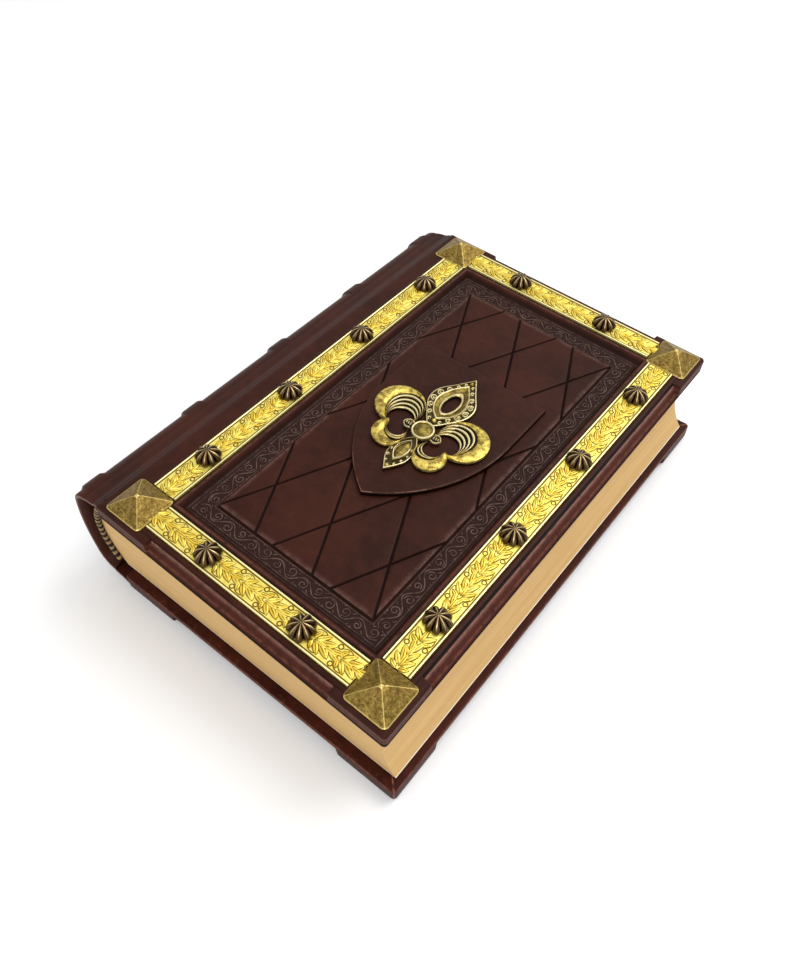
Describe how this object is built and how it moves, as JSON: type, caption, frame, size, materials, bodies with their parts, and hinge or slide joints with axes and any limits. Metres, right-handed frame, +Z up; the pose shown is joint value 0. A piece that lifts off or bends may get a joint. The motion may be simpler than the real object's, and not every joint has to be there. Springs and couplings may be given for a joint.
{
  "type": "antique leather book",
  "caption": "Thick hardback book in embossed dark leather with raised spine bands, brass edge strips, pyramid corner pieces, ribbed studs and a shield with a cast lily.",
  "frame": {"origin": "on the ground under the middle of the closed book", "axes": "+Z up out of the front cover, +Y to the head of the book, +X from the spine to the fore-edge"},
  "size_m": [0.1798, 0.246, 0.0672],
  "materials": {
    "leather": "smooth dark brown, soft sheen",
    "page_edges": "matt, trimmed",
    "endpaper": "matt",
    "endband": "woven, striped",
    "board": "plain",
    "stamped_brass": "bright stamped",
    "corner_brass": "antique, mottled",
    "stud_brass": "dark antique",
    "cast_brass": "antique with bright ridges"
  },
  "bodies": {
    "block": {"text_block": "page_edges", "head_band": "endband", "tail_band": "endband", "spine_leather": "leather", "spine_card": "board", "spine_tube": "board", "raised_band_1": "board", "raised_band_2": "board", "raised_band_3": "board", "raised_band_4": "board", "raised_band_5": "board", "front_joint": "leather", "back_joint": "leather"},
    "front_cover": {"front_board": "board", "frame_board": "board", "field_padding": "board", "front_leather": "leather", "front_pastedown": "endpaper", "strip_spine": "stamped_brass", "strip_fore": "stamped_brass", "strip_tail": "stamped_brass", "strip_head": "stamped_brass", "corner_tail_spine": "corner_brass", "corner_tail_fore": "corner_brass", "corner_head_spine": "corner_brass", "corner_head_fore": "corner_brass", "stud_spine_1": "stud_brass", "stud_spine_2": "stud_brass", "stud_spine_3": "stud_brass", "stud_spine_4": "stud_brass", "stud_fore_1": "stud_brass", "stud_fore_2": "stud_brass", "stud_fore_3": "stud_brass", "stud_fore_4": "stud_brass", "stud_tail_1": "stud_brass", "stud_tail_2": "stud_brass", "stud_head_1": "stud_brass", "stud_head_2": "stud_brass", "shield_core": "board", "shield_leather": "leather", "fleur_de_lis": "cast_brass"},
    "back_cover": {"back_board": "board", "back_leather": "leather", "back_pastedown": "endpaper"}
  },
  "joints": [
    {"name": "front_hinge", "type": "hinge", "parent": "block", "child": "front_cover", "pos_m": [-0.06935, 0, 0.0604], "axis": [0, -1, 0], "range_deg": [0, 165], "deforming": ["front_joint"]},
    {"name": "back_hinge", "type": "hinge", "parent": "block", "child": "back_cover", "pos_m": [-0.06935, 0, 0.0008], "axis": [0, 1, 0], "range_deg": [0, 180], "deforming": ["back_joint"]}
  ]
}
